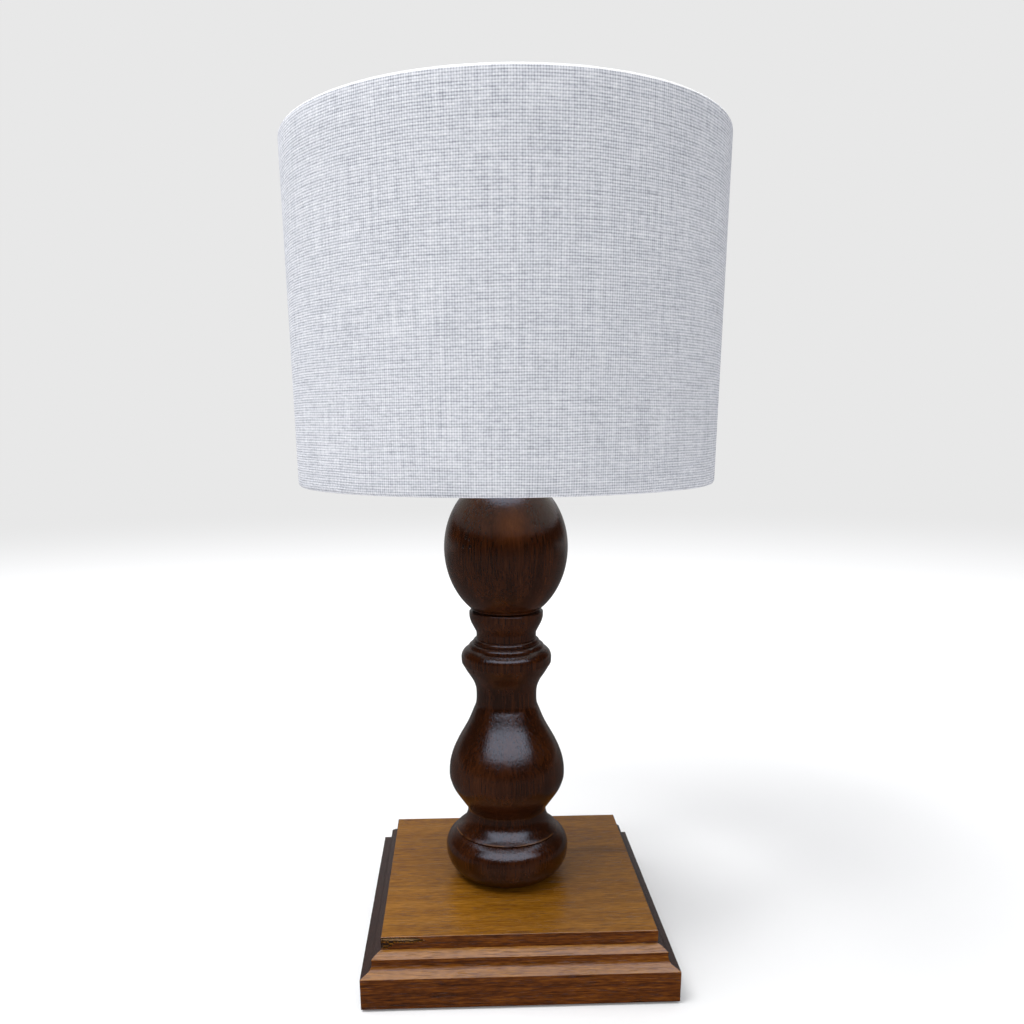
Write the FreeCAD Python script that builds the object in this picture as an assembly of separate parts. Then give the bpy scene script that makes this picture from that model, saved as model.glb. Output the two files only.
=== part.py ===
import FreeCAD, Part
import math
import os

# Candlestick table lamp: moulded square plinth, turned baluster column in two pieces,
# and a drum shade carried by a harp over a turn-knob socket.
# Millimetres. +Z up, origin in the middle of the underside, -Y is the front.

os.makedirs("parts", exist_ok=True)
V = FreeCAD.Vector
UP = V(0, 0, 1)

# ---------------------------------------------------------------- clearances
face_gap = 0.05        # between faces that slide or turn on each other
running_gap = 0.08     # radial, between a turning or sliding pin and its hole
soft_gap = 0.3         # between the shade's cloth and its lining
hem_gap = 0.6          # between the rolled edge of the cloth and the wire in it
wood_gap = 0.25        # radial, between a wooden tenon and its mortise
rod_hole_gap = 0.4     # radial, drilled wood round the threaded rod
slot_gap = 0.6         # beside the switch stem in the metal shell
core_gap = 0.6         # radial, between the socket's core and the sleeve round it
past = 1.0             # how far a cutting shape runs past what it cuts

# ---------------------------------------------------------------- plinth
felt_t = 1.5
felt_inset = 4.0
felt_corner_r = 4.0
plinth_side = 233.4
plinth_shift = 4.3     # the column stands this far left of the plinth's middle
plinth_h = 50.4
face_h = 24.9          # straight lower face
ledge_w = 6.3          # sloping ledge above the face
ledge_rise = 2.9
cove_w = 1.8           # shallow hollow above the ledge
cove_h = 8.1
cove_sag = 0.9
shoulder_w = 6.7       # rounded shoulder below the top's straight edge
shoulder_rise = 4.2
shoulder_in = 0.32     # where the shoulder's curve is fullest, in shares of its width
shoulder_up = 0.78     # and of its rise
arris_r = 0.8          # softened outer edges
bottom_arris_r = 1.2
recess_r = 18.0        # underside recess for the rod's nut
recess_depth = 20.0
lead_z = 11.0          # height of the lead's hole in the back
lead_hole_r = 4.6
grommet_step = 1.0     # the grommet's seat is this much wider than the lead's hole
grommet_bore_r = 3.6
grommet_flange_r = 7.2
grommet_flange_t = 1.6
grommet_len = 14.0
grommet_edge_r = 0.8

# ---------------------------------------------------------------- turned column
# each rise is the height from one level of the turned outline to the next, from the foot up
foot_seat_r = 35.0
foot_r = 50.1
foot_under_rise = 22.5
foot_under_bulge = 4.0
foot_over_rise = 15.7
foot_over_bulge = 2.9
foot_top_r = 41.6
foot_groove_d = 1.3
foot_groove_h = 1.4
apron_rise = 16.6
apron_hollow = 2.5     # hollow sweep from the foot's groove up to the waist
waist_r = 31.8
vase_under_rise = 32.0
vase_r = 46.5
vase_under_skew = 0.75
vase_over_rise = 65.4
vase_over_skew = 1.07
neck_r = 23.8
ring_under_rise = 29.4
ring_under_skew = 1.27
ring_r = 35.3          # torus ring above the neck
ring_over_rise = 8.1
ring_over_bulge = 1.3
ring_top_r = 31.6
ring_groove_r = 29.8   # two small beads lie on the slope above the ring
ring_groove_h = 0.9
step_groove_r = 26.0
step_h = 3.6
step_bulge = 1.0
collar_waist_r = 23.3
collar_waist_h = 4.1
collar_rise = 14.9
collar_skew = 0.78
collar_r = 28.7
collar_land_h = 2.9    # the collar's upright edge, under the joint
collar_edge = 1.0
column_joint_gap = 0.3
lip_r = 25.8
lip_h = 2.6
lip_bulge = 0.9
ball_r = 47.2
ball_rise = 48.2       # from the upper piece's foot to the ball's widest level
ball_under_h = 56.8    # half height of the ellipse that the lower half follows
ball_over_h = 55.5
ball_end_r = 25.0
cap_disc_r = 22.0
cap_disc_h = 5.4
cap_disc_bulge = 0.8
tenon_r = 14.0
tenon_len = 16.0
tenon_edge = 1.0
mortise_spare = 1.0    # the mortise is this much deeper than the tenon

# ---------------------------------------------------------------- rod and its fixings
rod_r = 4.8
rod_bore_r = 3.3
rod_below_nut = 3.0
washer_r = 15.0
washer_t = 2.0
nut_flat_r = 7.9       # half the distance across the flats
nut_chamfer = 0.7
nut_round_spare = 0.16  # the chamfer's round stands this far outside the flats
base_nut_t = 5.0
check_ring_r = 22.0
check_ring_t = 3.2
check_rim_w = 2.0
check_rim_h = 1.9
check_rim_bulge = 0.6
check_flat_r = 13.0
lock_nut_t = 4.0

# ---------------------------------------------------------------- harp saddle and harp
saddle_t = 1.6
saddle_w = 13.0
saddle_half = 25.0     # from the middle to each upright
saddle_upright_h = 14.0
saddle_taper_h = 7.7    # the uprights narrow over this height
saddle_bend_r = 5.0
post_len = 9.0
wire_r = 1.6
lap_len = 7.0          # half-lap between a post and a harp leg
ferrule_wall = 0.9
ferrule_len = 16.0
ferrule_nose_h = 3.2
ferrule_mouth = 0.3
harp_h = 190.5
harp_leg = 44.0        # from the lap up to the corner where the bow starts
harp_half = 58.0       # the bow's widest corner, above its straight legs
harp_wide_h = 34.0
harp_upper_half = 55.0
harp_upper_h = 84.0
harp_top_half = 34.0
bend_share = 0.46      # share of the shorter run that each bend of the bow takes
bridge_r = 6.0
bridge_t = 4.4
swivel_r = 2.0
swivel_head_r = 3.6
swivel_head_t = 1.3
swivel_head_edge = 0.6
seat_r = 9.5
seat_t = 2.0
seat_edge = 0.5
stud_r = 3.15
stud_len = 10.5
stud_point = 0.8

# ---------------------------------------------------------------- finial
finial_base_r = 6.2
finial_base_h = 2.4
finial_scoop_r = 4.8
finial_scoop_rise = 1.8
finial_neck_r = 3.9
finial_neck_rise = 4.4
finial_neck_bead = 0.7
finial_neck_groove_h = 0.9
finial_ball_r = 6.4
finial_ball_rise = 4.8
finial_crown_rise = 6.2
finial_crown_out = 0.62  # where the crown's curve passes, in shares of its radius
finial_crown_up = 0.76   # and of its rise

# ---------------------------------------------------------------- shade
shade_r = 152.4
shade_h = 226.5
spider_drop = 25.2     # the spider's washer lies this far below the shade's top
fabric_t = 0.6
liner_t = 0.6
ring_wire_r = 1.6
hem_turn = 232.0       # degrees that the rolled edge wraps round its wire
hem_tail = 5.0
spider_arms = 3
spider_first = 90.0    # degrees, one arm points straight back
spider_bend = 24.0     # from the ring to the arm's lower bend, radially
spider_bend_r = 9.0
spider_washer_r = 12.0
spider_washer_t = 1.6
spider_wire_r = 1.6
spider_root = 2.0      # length of each arm inside the washer
hem_notch = 7.0

# ---------------------------------------------------------------- socket
cap_hub_r = 7.6
cap_hub_h = 5.0
cap_floor_h = 6.2
cap_skirt_z = 14.0     # heights are above the socket's foot
cap_top_z = 19.0
cap_wall = 0.8
cap_bulge = 2.0
cap_inner_bulge = 1.8
cap_inner_step = 0.6
rod_in_cap = 8.0
shell_wall = 0.6
shell_foot_z = 14.6
shell_top_z = 52.0
shell_lip = 1.3
sleeve_t = 0.7
sleeve_foot_z = 15.4
sleeve_top_z = 50.0
core_foot_z = 17.0
core_top_z = 31.0
screw_shell_wall = 0.5
screw_shell_h = 19.0
screw_shell_gap = 1.0  # radial, between the screw shell and the sleeve round it
contact_r = 5.0
contact_t = 1.0
contact_edge_t = 0.6
contact_flat_r = 3.0
terminal_pocket_w = 8.0
terminal_pocket_h = 8.0
terminal_depth = 4.0
terminal_head_r = 2.9
terminal_head_t = 1.7
terminal_shank_r = 1.6
terminal_shank_len = 4.5
terminal_slot_w = 0.8
terminal_slot_d = 0.85
stem_r = 1.6
stem_z = 24.5
stem_depth = 9.0       # stem's length inside the core
knob_start = 20.0      # from the axis
knob_len = 14.0
knob_r = 5.6
knob_tip_r = 1.2
knob_collar = 2.5      # plain band before the flutes start
stem_in_knob = 1.0
knob_flutes = 10
knob_flute_r = 0.9

# ---------------------------------------------------------------- bulb
bulb_gap = 0.3
bulb_len = 110.0
bulb_r = 30.0
bulb_wide_h = 78.0
bulb_flank_out = 0.78  # where the flank's curve passes, in shares of the bulb's radius
bulb_flank_up = 0.46   # and of its rise
bulb_crown_out = 0.70
bulb_crown_up = 0.72
bulb_neck_r = 13.6
bulb_neck_h = 30.0
bulb_neck_step = 0.3
bulb_shoulder_gap = 0.4
bulb_in_cap = 6.0      # length of the glass inside its cap
bulb_wall = 0.9
bulb_cap_r = 13.05
bulb_cap_h = 26.0
bulb_cap_wall = 0.4
bulb_cap_foot_h = 3.0
bulb_cap_taper_h = 4.0
bulb_cap_rim = 0.6
bulb_cap_floor_t = 0.8
bulb_tip_r = 9.0
bulb_tip_h = 4.6
bulb_contact_r = 3.2
bulb_contact_t = 1.0

# ---------------------------------------------------------------- levels that follow
arc_rise = math.sqrt(0.5) * (math.sqrt(2) - 1)   # rise of a quarter circle over its chord
seat_z = felt_t + plinth_h
recess_z = felt_t + recess_depth
foot_top_h = foot_under_rise + foot_over_rise
apron_h = foot_top_h + foot_groove_h
waist_h = apron_h + apron_rise
vase_wide_h = waist_h + vase_under_rise
neck_h = vase_wide_h + vase_over_rise
ring_wide_h = neck_h + ring_under_rise
ring_top_h = ring_wide_h + ring_over_rise
bead_1_h = ring_top_h + ring_groove_h
bead_2_h = bead_1_h + step_h
bead_top_h = bead_2_h + step_h
collar_foot_h = bead_top_h + collar_waist_h
collar_h = collar_foot_h + collar_rise
column_joint_h = collar_h + collar_land_h
ball_foot_h = column_joint_h + column_joint_gap
ball_wide_h = ball_foot_h + ball_rise
ball_end_turn = math.asin(ball_end_r / ball_r)
ball_top_h = ball_wide_h + ball_over_h * math.cos(ball_end_turn)
column_h = ball_top_h + cap_disc_h
column_top_z = seat_z + column_h
joint_z = seat_z + column_joint_h
saddle_z = column_top_z + check_ring_t
lock_nut_z = saddle_z + saddle_t
socket_z = lock_nut_z + lock_nut_t
rod_bottom_z = recess_z - washer_t - base_nut_t - rod_below_nut
rod_top_z = socket_z + rod_in_cap
rod_hole_r = rod_r + rod_hole_gap
rod_fit_r = rod_r + running_gap
core_seat_z = socket_z + core_top_z
bulb_z = core_seat_z + contact_t + bulb_gap
post_z = saddle_z + saddle_upright_h
lap_z = post_z + post_len
harp_top_z = saddle_z + harp_h
seat_disc_z = harp_top_z + bridge_t / 2 + face_gap
washer_seat_z = seat_disc_z + seat_t + face_gap
finial_z = washer_seat_z + spider_washer_t + face_gap
shade_top_z = washer_seat_z + spider_drop
shade_bottom_z = shade_top_z - shade_h
hem_inner_r = ring_wire_r + hem_gap
hem_outer_r = hem_inner_r + fabric_t
hem_drop = 2 * hem_outer_r + hem_tail   # the tail ends this far inside the wire
ring_path_r = shade_r - hem_outer_r
ring_top_z = shade_top_z - hem_outer_r
ring_bottom_z = shade_bottom_z + hem_outer_r
liner_r = shade_r - fabric_t - soft_gap
screw_bore_r = bulb_cap_r + running_gap
screw_shell_r = screw_bore_r + screw_shell_wall
sleeve_bore_r = screw_shell_r + screw_shell_gap
sleeve_r = sleeve_bore_r + sleeve_t
shell_bore_r = sleeve_r + soft_gap
shell_r = shell_bore_r + shell_wall
core_r = sleeve_bore_r - core_gap
cap_bore_r = shell_r + running_gap
cap_r = cap_bore_r + cap_wall


# ---------------------------------------------------------------- drawing helpers
def rz(radius, height):
    """A point of a turned outline: distance from the axis, and height."""
    return V(radius, 0, height)


def line(a, b):
    return Part.LineSegment(a, b).toShape()


def arc(a, middle, b):
    return Part.Arc(a, middle, b).toShape()


def polyline(points):
    return [line(a, b) for a, b in zip(points, points[1:])]


def smooth(points, start=None, end=None):
    """One smooth curve through the points, with its end directions if they are given."""
    curve = Part.BSplineCurve()
    if start is None:
        curve.interpolate(Points=points)
    else:
        curve.interpolate(Points=points, InitialTangent=start, FinalTangent=end)
    return curve.toShape()


def bulged(a, b, sag):
    """An arc from a to b whose middle stands off the chord to its right by sag."""
    chord = b - a
    side = V(chord.z, 0, -chord.x)
    side.normalize()
    return arc(a, (a + b) / 2 + side * sag, b)


def ogee(a, b, skew):
    """A double curve from a to b, upright at both ends; a skew over 1 keeps near a longer."""
    steps = 6
    points = []
    for k in range(steps + 1):
        v = k / steps
        u = (1 - math.cos(math.pi * v ** skew)) / 2
        points.append(rz(a.x + (b.x - a.x) * u, a.z + (b.z - a.z) * v))
    return smooth(points, UP, UP)


def ellipse_arc(centre, half_r, half_h, start, end):
    """Part of an upright ellipse; angles start at its top and run outwards and down."""
    ellipse = Part.Ellipse(centre + V(0, 0, half_h), centre + V(half_r, 0, 0), centre)
    return Part.ArcOfEllipse(ellipse, start, end).toShape()


def turned(edges):
    """The solid that a closed outline in the XZ plane makes when it is turned about Z."""
    face = Part.Face(Part.Wire(Part.__sortEdges__(edges)))
    return face.revolve(V(0, 0, 0), UP, 360)


def turned_points(points):
    return turned(polyline([rz(*p) for p in points] + [rz(*points[0])]))


def cylinder(radius, z0, z1, x=0.0, y=0.0):
    return Part.makeCylinder(radius, z1 - z0, V(x, y, z0), UP)


def tube(outer, inner, z0, z1):
    return cylinder(outer, z0, z1).cut(cylinder(inner, z0 - past, z1 + past))


def rod_along(direction, radius, start, end, height):
    """A round bar that lies along a level direction, from start to end out of the axis."""
    foot = direction * start + V(0, 0, height)
    return Part.makeCylinder(radius, end - start, foot, direction)


def block(x0, x1, y0, y1, z0, z1):
    return Part.makeBox(x1 - x0, y1 - y0, z1 - z0, V(x0, y0, z0))


def corner_arc(before, corner, after, radius):
    """Start, middle and end of the arc that rounds a corner between two straight lines."""
    back = (before - corner).normalize()
    ahead = (after - corner).normalize()
    half = back.getAngle(ahead) / 2
    reach = radius / math.tan(half)
    bisector = (back + ahead).normalize()
    centre = corner + bisector * (radius / math.sin(half))
    return corner + back * reach, centre - bisector * radius, corner + ahead * reach


def bent_path(points, radii):
    """Straight runs joined by tangent arcs: one radius for each inner point."""
    edges = []
    here = points[0]
    for before, corner, after, radius in zip(points, points[1:], points[2:], radii):
        first, middle, last = corner_arc(before, corner, after, radius)
        edges.append(line(here, first))
        edges.append(arc(first, middle, last))
        here = last
    edges.append(line(here, points[-1]))
    return Part.Wire(edges)


def easy_radii(points, share):
    """The bend radius at each inner point that uses up a share of the shorter run there."""
    radii = []
    for before, corner, after in zip(points, points[1:], points[2:]):
        back = before - corner
        ahead = after - corner
        half_turn = (math.pi - back.getAngle(ahead)) / 2
        radii.append(share * min(back.Length, ahead.Length) / math.tan(half_turn))
    return radii


def wire_rod(path, radius):
    """Round wire bent along a path."""
    start = path.Edges[0]
    direction = start.tangentAt(start.FirstParameter)
    section = Part.Wire(Part.makeCircle(radius, start.valueAt(start.FirstParameter), direction))
    return path.makePipeShell([section], True, False)


def hexagon(flat_r, z0, z1, bore_r):
    corner_r = flat_r / math.cos(math.pi / 6)
    corners = [V(corner_r * math.cos(math.radians(60 * k)),
                 corner_r * math.sin(math.radians(60 * k)), z0) for k in range(7)]
    nut = Part.Face(Part.makePolygon(corners)).extrude(V(0, 0, z1 - z0))
    round_r = flat_r + nut_round_spare
    crown = turned_points([(0, z0), (round_r, z0), (corner_r, z0 + nut_chamfer),
                           (corner_r, z1 - nut_chamfer), (round_r, z1), (0, z1)])
    return nut.common(crown).cut(cylinder(bore_r, z0 - past, z1 + past))


def save(name, *shapes):
    shape = shapes[0] if len(shapes) == 1 else Part.makeCompound(list(shapes))
    shape.exportStep("parts/" + name + ".step")
    print(name, len(shape.Solids), "solid", round(shape.Volume, 1), "mm3", shape.isValid())
    return shape


# ---------------------------------------------------------------- plinth pieces
def plinth_outline():
    """Half outline of the moulded edge, from the underside up to the top, outwards +X."""
    foot = rz(plinth_side / 2, felt_t)
    brow = foot + V(0, 0, face_h)
    ledge = brow + V(-ledge_w, 0, ledge_rise)
    cove = ledge + V(-cove_w, 0, cove_h)
    shoulder = cove + V(-shoulder_w, 0, shoulder_rise)
    full = cove + V(-shoulder_w * shoulder_in, 0, shoulder_rise * shoulder_up)
    rim = rz(shoulder.x, seat_z)
    foot_round = corner_arc(rz(0, felt_t), foot, brow, bottom_arris_r)
    brow_round = corner_arc(foot, brow, ledge, arris_r)
    rim_round = corner_arc(shoulder, rim, rz(0, seat_z), arris_r)
    return [
        arc(*foot_round),
        line(foot_round[-1], brow_round[0]),
        arc(*brow_round),
        line(brow_round[-1], ledge),
        bulged(ledge, cove, -cove_sag),
        arc(cove, full, shoulder),
        line(shoulder, rim_round[0]),
        arc(*rim_round),
    ]


def plinth_prism():
    """The moulded section, both sides, as a long bar along Y."""
    right = plinth_outline()
    left = [e.mirror(V(0, 0, 0), V(1, 0, 0)) for e in right]
    under = right[0].valueAt(right[0].FirstParameter)
    over = right[-1].valueAt(right[-1].LastParameter)
    rails = [line(V(-end.x, 0, end.z), end) for end in (under, over)]
    face = Part.Face(Part.Wire(Part.__sortEdges__(right + left + rails)))
    face.translate(V(0, -plinth_side, 0))
    return face.extrude(V(0, 2 * plinth_side, 0))


def make_plinth():
    """Two crossed bars share only the square block, so its moulding meets in mitres."""
    bar = plinth_prism()
    crossed = bar.copy()
    crossed.rotate(V(0, 0, 0), UP, 90)
    slab = bar.common(crossed)
    slab.translate(V(plinth_shift, 0, 0))
    slab = slab.cut(cylinder(rod_hole_r, felt_t - past, seat_z + past))
    slab = slab.cut(cylinder(recess_r, felt_t - past, recess_z))
    back = V(0, 1, 0)
    slab = slab.cut(rod_along(back, lead_hole_r, recess_r / 2, plinth_side, lead_z))
    socket_start = plinth_side / 2 - grommet_len
    bush_r = lead_hole_r + grommet_step
    slab = slab.cut(rod_along(back, bush_r, socket_start, plinth_side, lead_z))
    save("base_plinth", slab)

    bush_end = plinth_side / 2
    bush = rod_along(back, bush_r - face_gap, socket_start, bush_end, lead_z)
    flange = rod_along(back, grommet_flange_r, bush_end, bush_end + grommet_flange_t, lead_z)
    rim = [e for e in flange.Edges if abs(e.CenterOfMass.y - bush_end - grommet_flange_t) < 1e-6]
    flange = flange.makeFillet(grommet_edge_r, rim)
    bore = rod_along(back, grommet_bore_r, socket_start - past, plinth_side, lead_z)
    save("cord_grommet", bush.fuse(flange).cut(bore).removeSplitter())

    felt_half = plinth_side / 2 - felt_inset
    felt = block(-felt_half, felt_half, -felt_half, felt_half, 0, felt_t)
    felt.translate(V(plinth_shift, 0, 0))
    corners = [e for e in felt.Edges if abs(e.tangentAt(0).z) > math.sqrt(0.5)]
    save("felt_pad", felt.makeFillet(felt_corner_r, corners))


# ---------------------------------------------------------------- column pieces
def at(radius, height):
    """A point of the column's outline: its heights start at the plinth."""
    return rz(radius, seat_z + height)


def make_lower_column():
    groove_h = foot_top_h + foot_groove_h / 2
    edge_h = column_joint_h - collar_edge
    face_r = collar_r - collar_edge
    outline = [
        bulged(at(foot_seat_r, 0), at(foot_r, foot_under_rise), foot_under_bulge),
        bulged(at(foot_r, foot_under_rise), at(foot_top_r, foot_top_h), foot_over_bulge),
        line(at(foot_top_r, foot_top_h), at(foot_top_r - foot_groove_d, groove_h)),
        line(at(foot_top_r - foot_groove_d, groove_h), at(foot_top_r, apron_h)),
        bulged(at(foot_top_r, apron_h), at(waist_r, waist_h), -apron_hollow),
        ogee(at(waist_r, waist_h), at(vase_r, vase_wide_h), vase_under_skew),
        ogee(at(vase_r, vase_wide_h), at(neck_r, neck_h), vase_over_skew),
        ogee(at(neck_r, neck_h), at(ring_r, ring_wide_h), ring_under_skew),
        bulged(at(ring_r, ring_wide_h), at(ring_top_r, ring_top_h), ring_over_bulge),
        line(at(ring_top_r, ring_top_h), at(ring_groove_r, bead_1_h)),
        bulged(at(ring_groove_r, bead_1_h), at(step_groove_r, bead_2_h), step_bulge),
        bulged(at(step_groove_r, bead_2_h), at(collar_waist_r, bead_top_h), step_bulge),
        line(at(collar_waist_r, bead_top_h), at(collar_waist_r, collar_foot_h)),
        ogee(at(collar_waist_r, collar_foot_h), at(collar_r, collar_h), collar_skew),
        line(at(collar_r, collar_h), at(collar_r, edge_h)),
        bulged(at(collar_r, edge_h), at(face_r, column_joint_h), collar_edge * arc_rise),
        line(at(face_r, column_joint_h), at(0, column_joint_h)),
        line(at(0, column_joint_h), at(0, 0)),
        line(at(0, 0), at(foot_seat_r, 0)),
    ]
    column = turned(outline)
    mortise_r = tenon_r + wood_gap
    mortise_foot = joint_z - tenon_len - mortise_spare
    column = column.cut(cylinder(mortise_r, mortise_foot, joint_z + past))
    column = column.cut(cylinder(rod_hole_r, seat_z - past, joint_z + past))
    save("lower_column", column)


def make_upper_column():
    """The ball: two half ellipses on one centre, a lip below and a small disc above."""
    lip_top_h = ball_foot_h + lip_h
    tenon_h = ball_foot_h - tenon_len
    centre = at(0, ball_wide_h)
    level = math.pi / 2
    finish = math.acos((lip_top_h - ball_wide_h) / ball_under_h)
    ball_foot_r = ball_r * math.sin(finish)
    disc_edge_h = column_h - arris_r
    outline = [
        ellipse_arc(centre, ball_r, ball_over_h, ball_end_turn, level),
        ellipse_arc(centre, ball_r, ball_under_h, level, finish),
        bulged(at(lip_r, ball_foot_h), at(lip_r, lip_top_h), lip_bulge),
        line(at(lip_r, lip_top_h), at(ball_foot_r, lip_top_h)),
        line(at(ball_end_r, ball_top_h), at(cap_disc_r, ball_top_h)),
        bulged(at(cap_disc_r, ball_top_h), at(cap_disc_r, disc_edge_h), cap_disc_bulge),
        line(at(cap_disc_r, disc_edge_h), at(cap_disc_r - arris_r, column_h)),
        line(at(cap_disc_r - arris_r, column_h), at(0, column_h)),
        line(at(0, column_h), at(0, tenon_h)),
        line(at(0, tenon_h), at(tenon_r - tenon_edge, tenon_h)),
        line(at(tenon_r - tenon_edge, tenon_h), at(tenon_r, tenon_h + tenon_edge)),
        line(at(tenon_r, tenon_h + tenon_edge), at(tenon_r, ball_foot_h)),
        line(at(tenon_r, ball_foot_h), at(lip_r, ball_foot_h)),
    ]
    hole = cylinder(rod_hole_r, joint_z - 2 * tenon_len, column_top_z + past)
    save("upper_column", turned(outline).cut(hole))


# ---------------------------------------------------------------- rod, nuts and rings
def make_fixings():
    save("lamp_rod", tube(rod_r, rod_bore_r, rod_bottom_z, rod_top_z))
    save("base_washer", tube(washer_r, rod_fit_r, recess_z - washer_t, recess_z))
    nut_top = recess_z - washer_t
    save("base_nut", hexagon(nut_flat_r, nut_top - base_nut_t, nut_top, rod_fit_r))
    save("lock_nut", hexagon(nut_flat_r, lock_nut_z, lock_nut_z + lock_nut_t, rod_fit_r))
    z0 = column_top_z
    z1 = z0 + check_ring_t
    rim = rz(check_ring_r, z0)
    brow = rim + V(-check_rim_w, 0, check_rim_h)
    ring = turned([
        line(rz(rod_fit_r, z0), rim),
        bulged(rim, brow, check_rim_bulge),
        line(brow, rz(check_flat_r, z1)),
        line(rz(check_flat_r, z1), rz(rod_fit_r, z1)),
        line(rz(rod_fit_r, z1), rz(rod_fit_r, z0)),
    ])
    save("check_ring", ring)


# ---------------------------------------------------------------- harp
def lap_cut(side):
    """The inner half of a post's end, which the harp leg's half lap fills."""
    x = side * saddle_half
    inner = x - side * (wire_r + past)
    return block(min(x, inner), max(x, inner), -wire_r - past, wire_r + past,
                 lap_z - lap_len, lap_z + past)


def upright_trim(side, edge):
    """A wedge that narrows one edge of a saddle upright to the width of its post."""
    foot_z = post_z - saddle_taper_h
    outline = [(wire_r, post_z + past), (wire_r, post_z), (saddle_w / 2, foot_z),
               (saddle_w, foot_z), (saddle_w, post_z + past), (wire_r, post_z + past)]
    corners = [V(side * saddle_half - saddle_t, edge * y, z) for y, z in outline]
    return Part.Face(Part.makePolygon(corners)).extrude(V(2 * saddle_t, 0, 0))


def make_saddle():
    """A stamped strap with two uprights that end in round posts."""
    mid_z = saddle_z + saddle_t / 2
    path = bent_path([V(-saddle_half, 0, post_z), V(-saddle_half, 0, mid_z),
                      V(saddle_half, 0, mid_z), V(saddle_half, 0, post_z)],
                     [saddle_bend_r, saddle_bend_r])
    section = [(-1, -1), (1, -1), (1, 1), (-1, 1), (-1, -1)]
    corners = [V(-saddle_half + x * saddle_t / 2, y * saddle_w / 2, post_z) for x, y in section]
    strap = path.makePipeShell([Part.Wire(Part.makePolygon(corners))], True, False)
    for side in (-1, 1):
        for edge in (-1, 1):
            strap = strap.cut(upright_trim(side, edge))
        post = cylinder(wire_r, post_z - saddle_taper_h, lap_z, side * saddle_half)
        strap = strap.fuse(post.cut(lap_cut(side)))
    strap = strap.cut(cylinder(rod_fit_r, saddle_z - past, lock_nut_z + past))
    save("harp_saddle", strap.removeSplitter())


def make_harp():
    """One bent wire with a bridge plate at its top, lapped on to the saddle's posts."""
    foot_z = lap_z - lap_len + face_gap
    bow_z = lap_z + harp_leg
    right = [V(saddle_half, 0, foot_z), V(saddle_half, 0, bow_z),
             V(harp_half, 0, bow_z + harp_wide_h), V(harp_upper_half, 0, bow_z + harp_upper_h),
             V(harp_top_half, 0, harp_top_z)]
    left = [V(-p.x, 0, p.z) for p in right]
    corners = left + right[::-1]
    path = bent_path(corners, easy_radii(corners, bend_share))
    harp = wire_rod(path, wire_r)
    for side in (-1, 1):
        x = side * saddle_half
        outer = x + side * (wire_r + past)
        inner = x - side * face_gap
        harp = harp.cut(block(min(inner, outer), max(inner, outer), -wire_r - past,
                              wire_r + past, foot_z - past, lap_z + face_gap))
    bridge = cylinder(bridge_r, harp_top_z - bridge_t / 2, harp_top_z + bridge_t / 2)
    bore = cylinder(swivel_r + running_gap, harp_top_z - bridge_t, harp_top_z + bridge_t)
    save("harp", harp.fuse(bridge).cut(bore).removeSplitter())

    foot = post_z + face_gap
    head = foot + ferrule_len
    nose = head - ferrule_nose_h
    bore_r = wire_r + running_gap
    outer_r = bore_r + ferrule_wall
    mouth_r = bore_r + ferrule_mouth
    for name, side in (("ferrule_left", -1), ("ferrule_right", 1)):
        sleeve = turned([
            line(rz(bore_r, foot), rz(outer_r, foot)),
            line(rz(outer_r, foot), rz(outer_r, nose)),
            bulged(rz(outer_r, nose), rz(mouth_r, head), ferrule_mouth),
            line(rz(mouth_r, head), rz(bore_r, head)),
            line(rz(bore_r, head), rz(bore_r, foot)),
        ])
        sleeve.translate(V(side * saddle_half, 0, 0))
        save(name, sleeve)


def make_stud():
    """The swivel that the shade turns on: rivet head, shank, seat disc, threaded post."""
    head_top = harp_top_z - bridge_t / 2 - face_gap
    post_base = seat_disc_z + seat_t
    post_top = post_base + stud_len
    head_foot = head_top - swivel_head_t
    stud = turned_points([
        (0, head_foot), (swivel_head_r - swivel_head_edge, head_foot),
        (swivel_head_r, head_top), (swivel_r, head_top), (swivel_r, seat_disc_z),
        (seat_r, seat_disc_z), (seat_r, post_base - seat_edge), (seat_r - seat_edge, post_base),
        (stud_r, post_base), (stud_r, post_top - stud_point), (stud_r - stud_point, post_top),
        (0, post_top)])
    save("harp_stud", stud)


def make_finial():
    """A turned knob: base, scooped neck with a small groove, and a pointed ball."""
    foot = rz(0, finial_z)
    base = rz(finial_base_r, finial_z + finial_base_h)
    scoop = rz(finial_scoop_r, base.z + finial_scoop_rise)
    bead = rz(finial_neck_r + finial_neck_bead, scoop.z + finial_neck_rise)
    neck = rz(finial_neck_r, bead.z + finial_neck_groove_h)
    ball = rz(finial_ball_r, neck.z + finial_ball_rise)
    crown = rz(finial_ball_r * finial_crown_out, ball.z + finial_crown_rise * finial_crown_up)
    tip = rz(0, ball.z + finial_crown_rise)
    body = turned([
        line(foot, rz(finial_base_r, finial_z)),
        line(rz(finial_base_r, finial_z), base),
        smooth([base, scoop, bead]),
        line(bead, neck),
        smooth([neck, ball, crown, tip], V(1, 0, 0.4), V(-1, 0, 0)),
        line(tip, foot),
    ])
    post_top = seat_disc_z + seat_t + stud_len
    bore = cylinder(stud_r + running_gap, finial_z - past, post_top + face_gap)
    save("finial", body.cut(bore))


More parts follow.
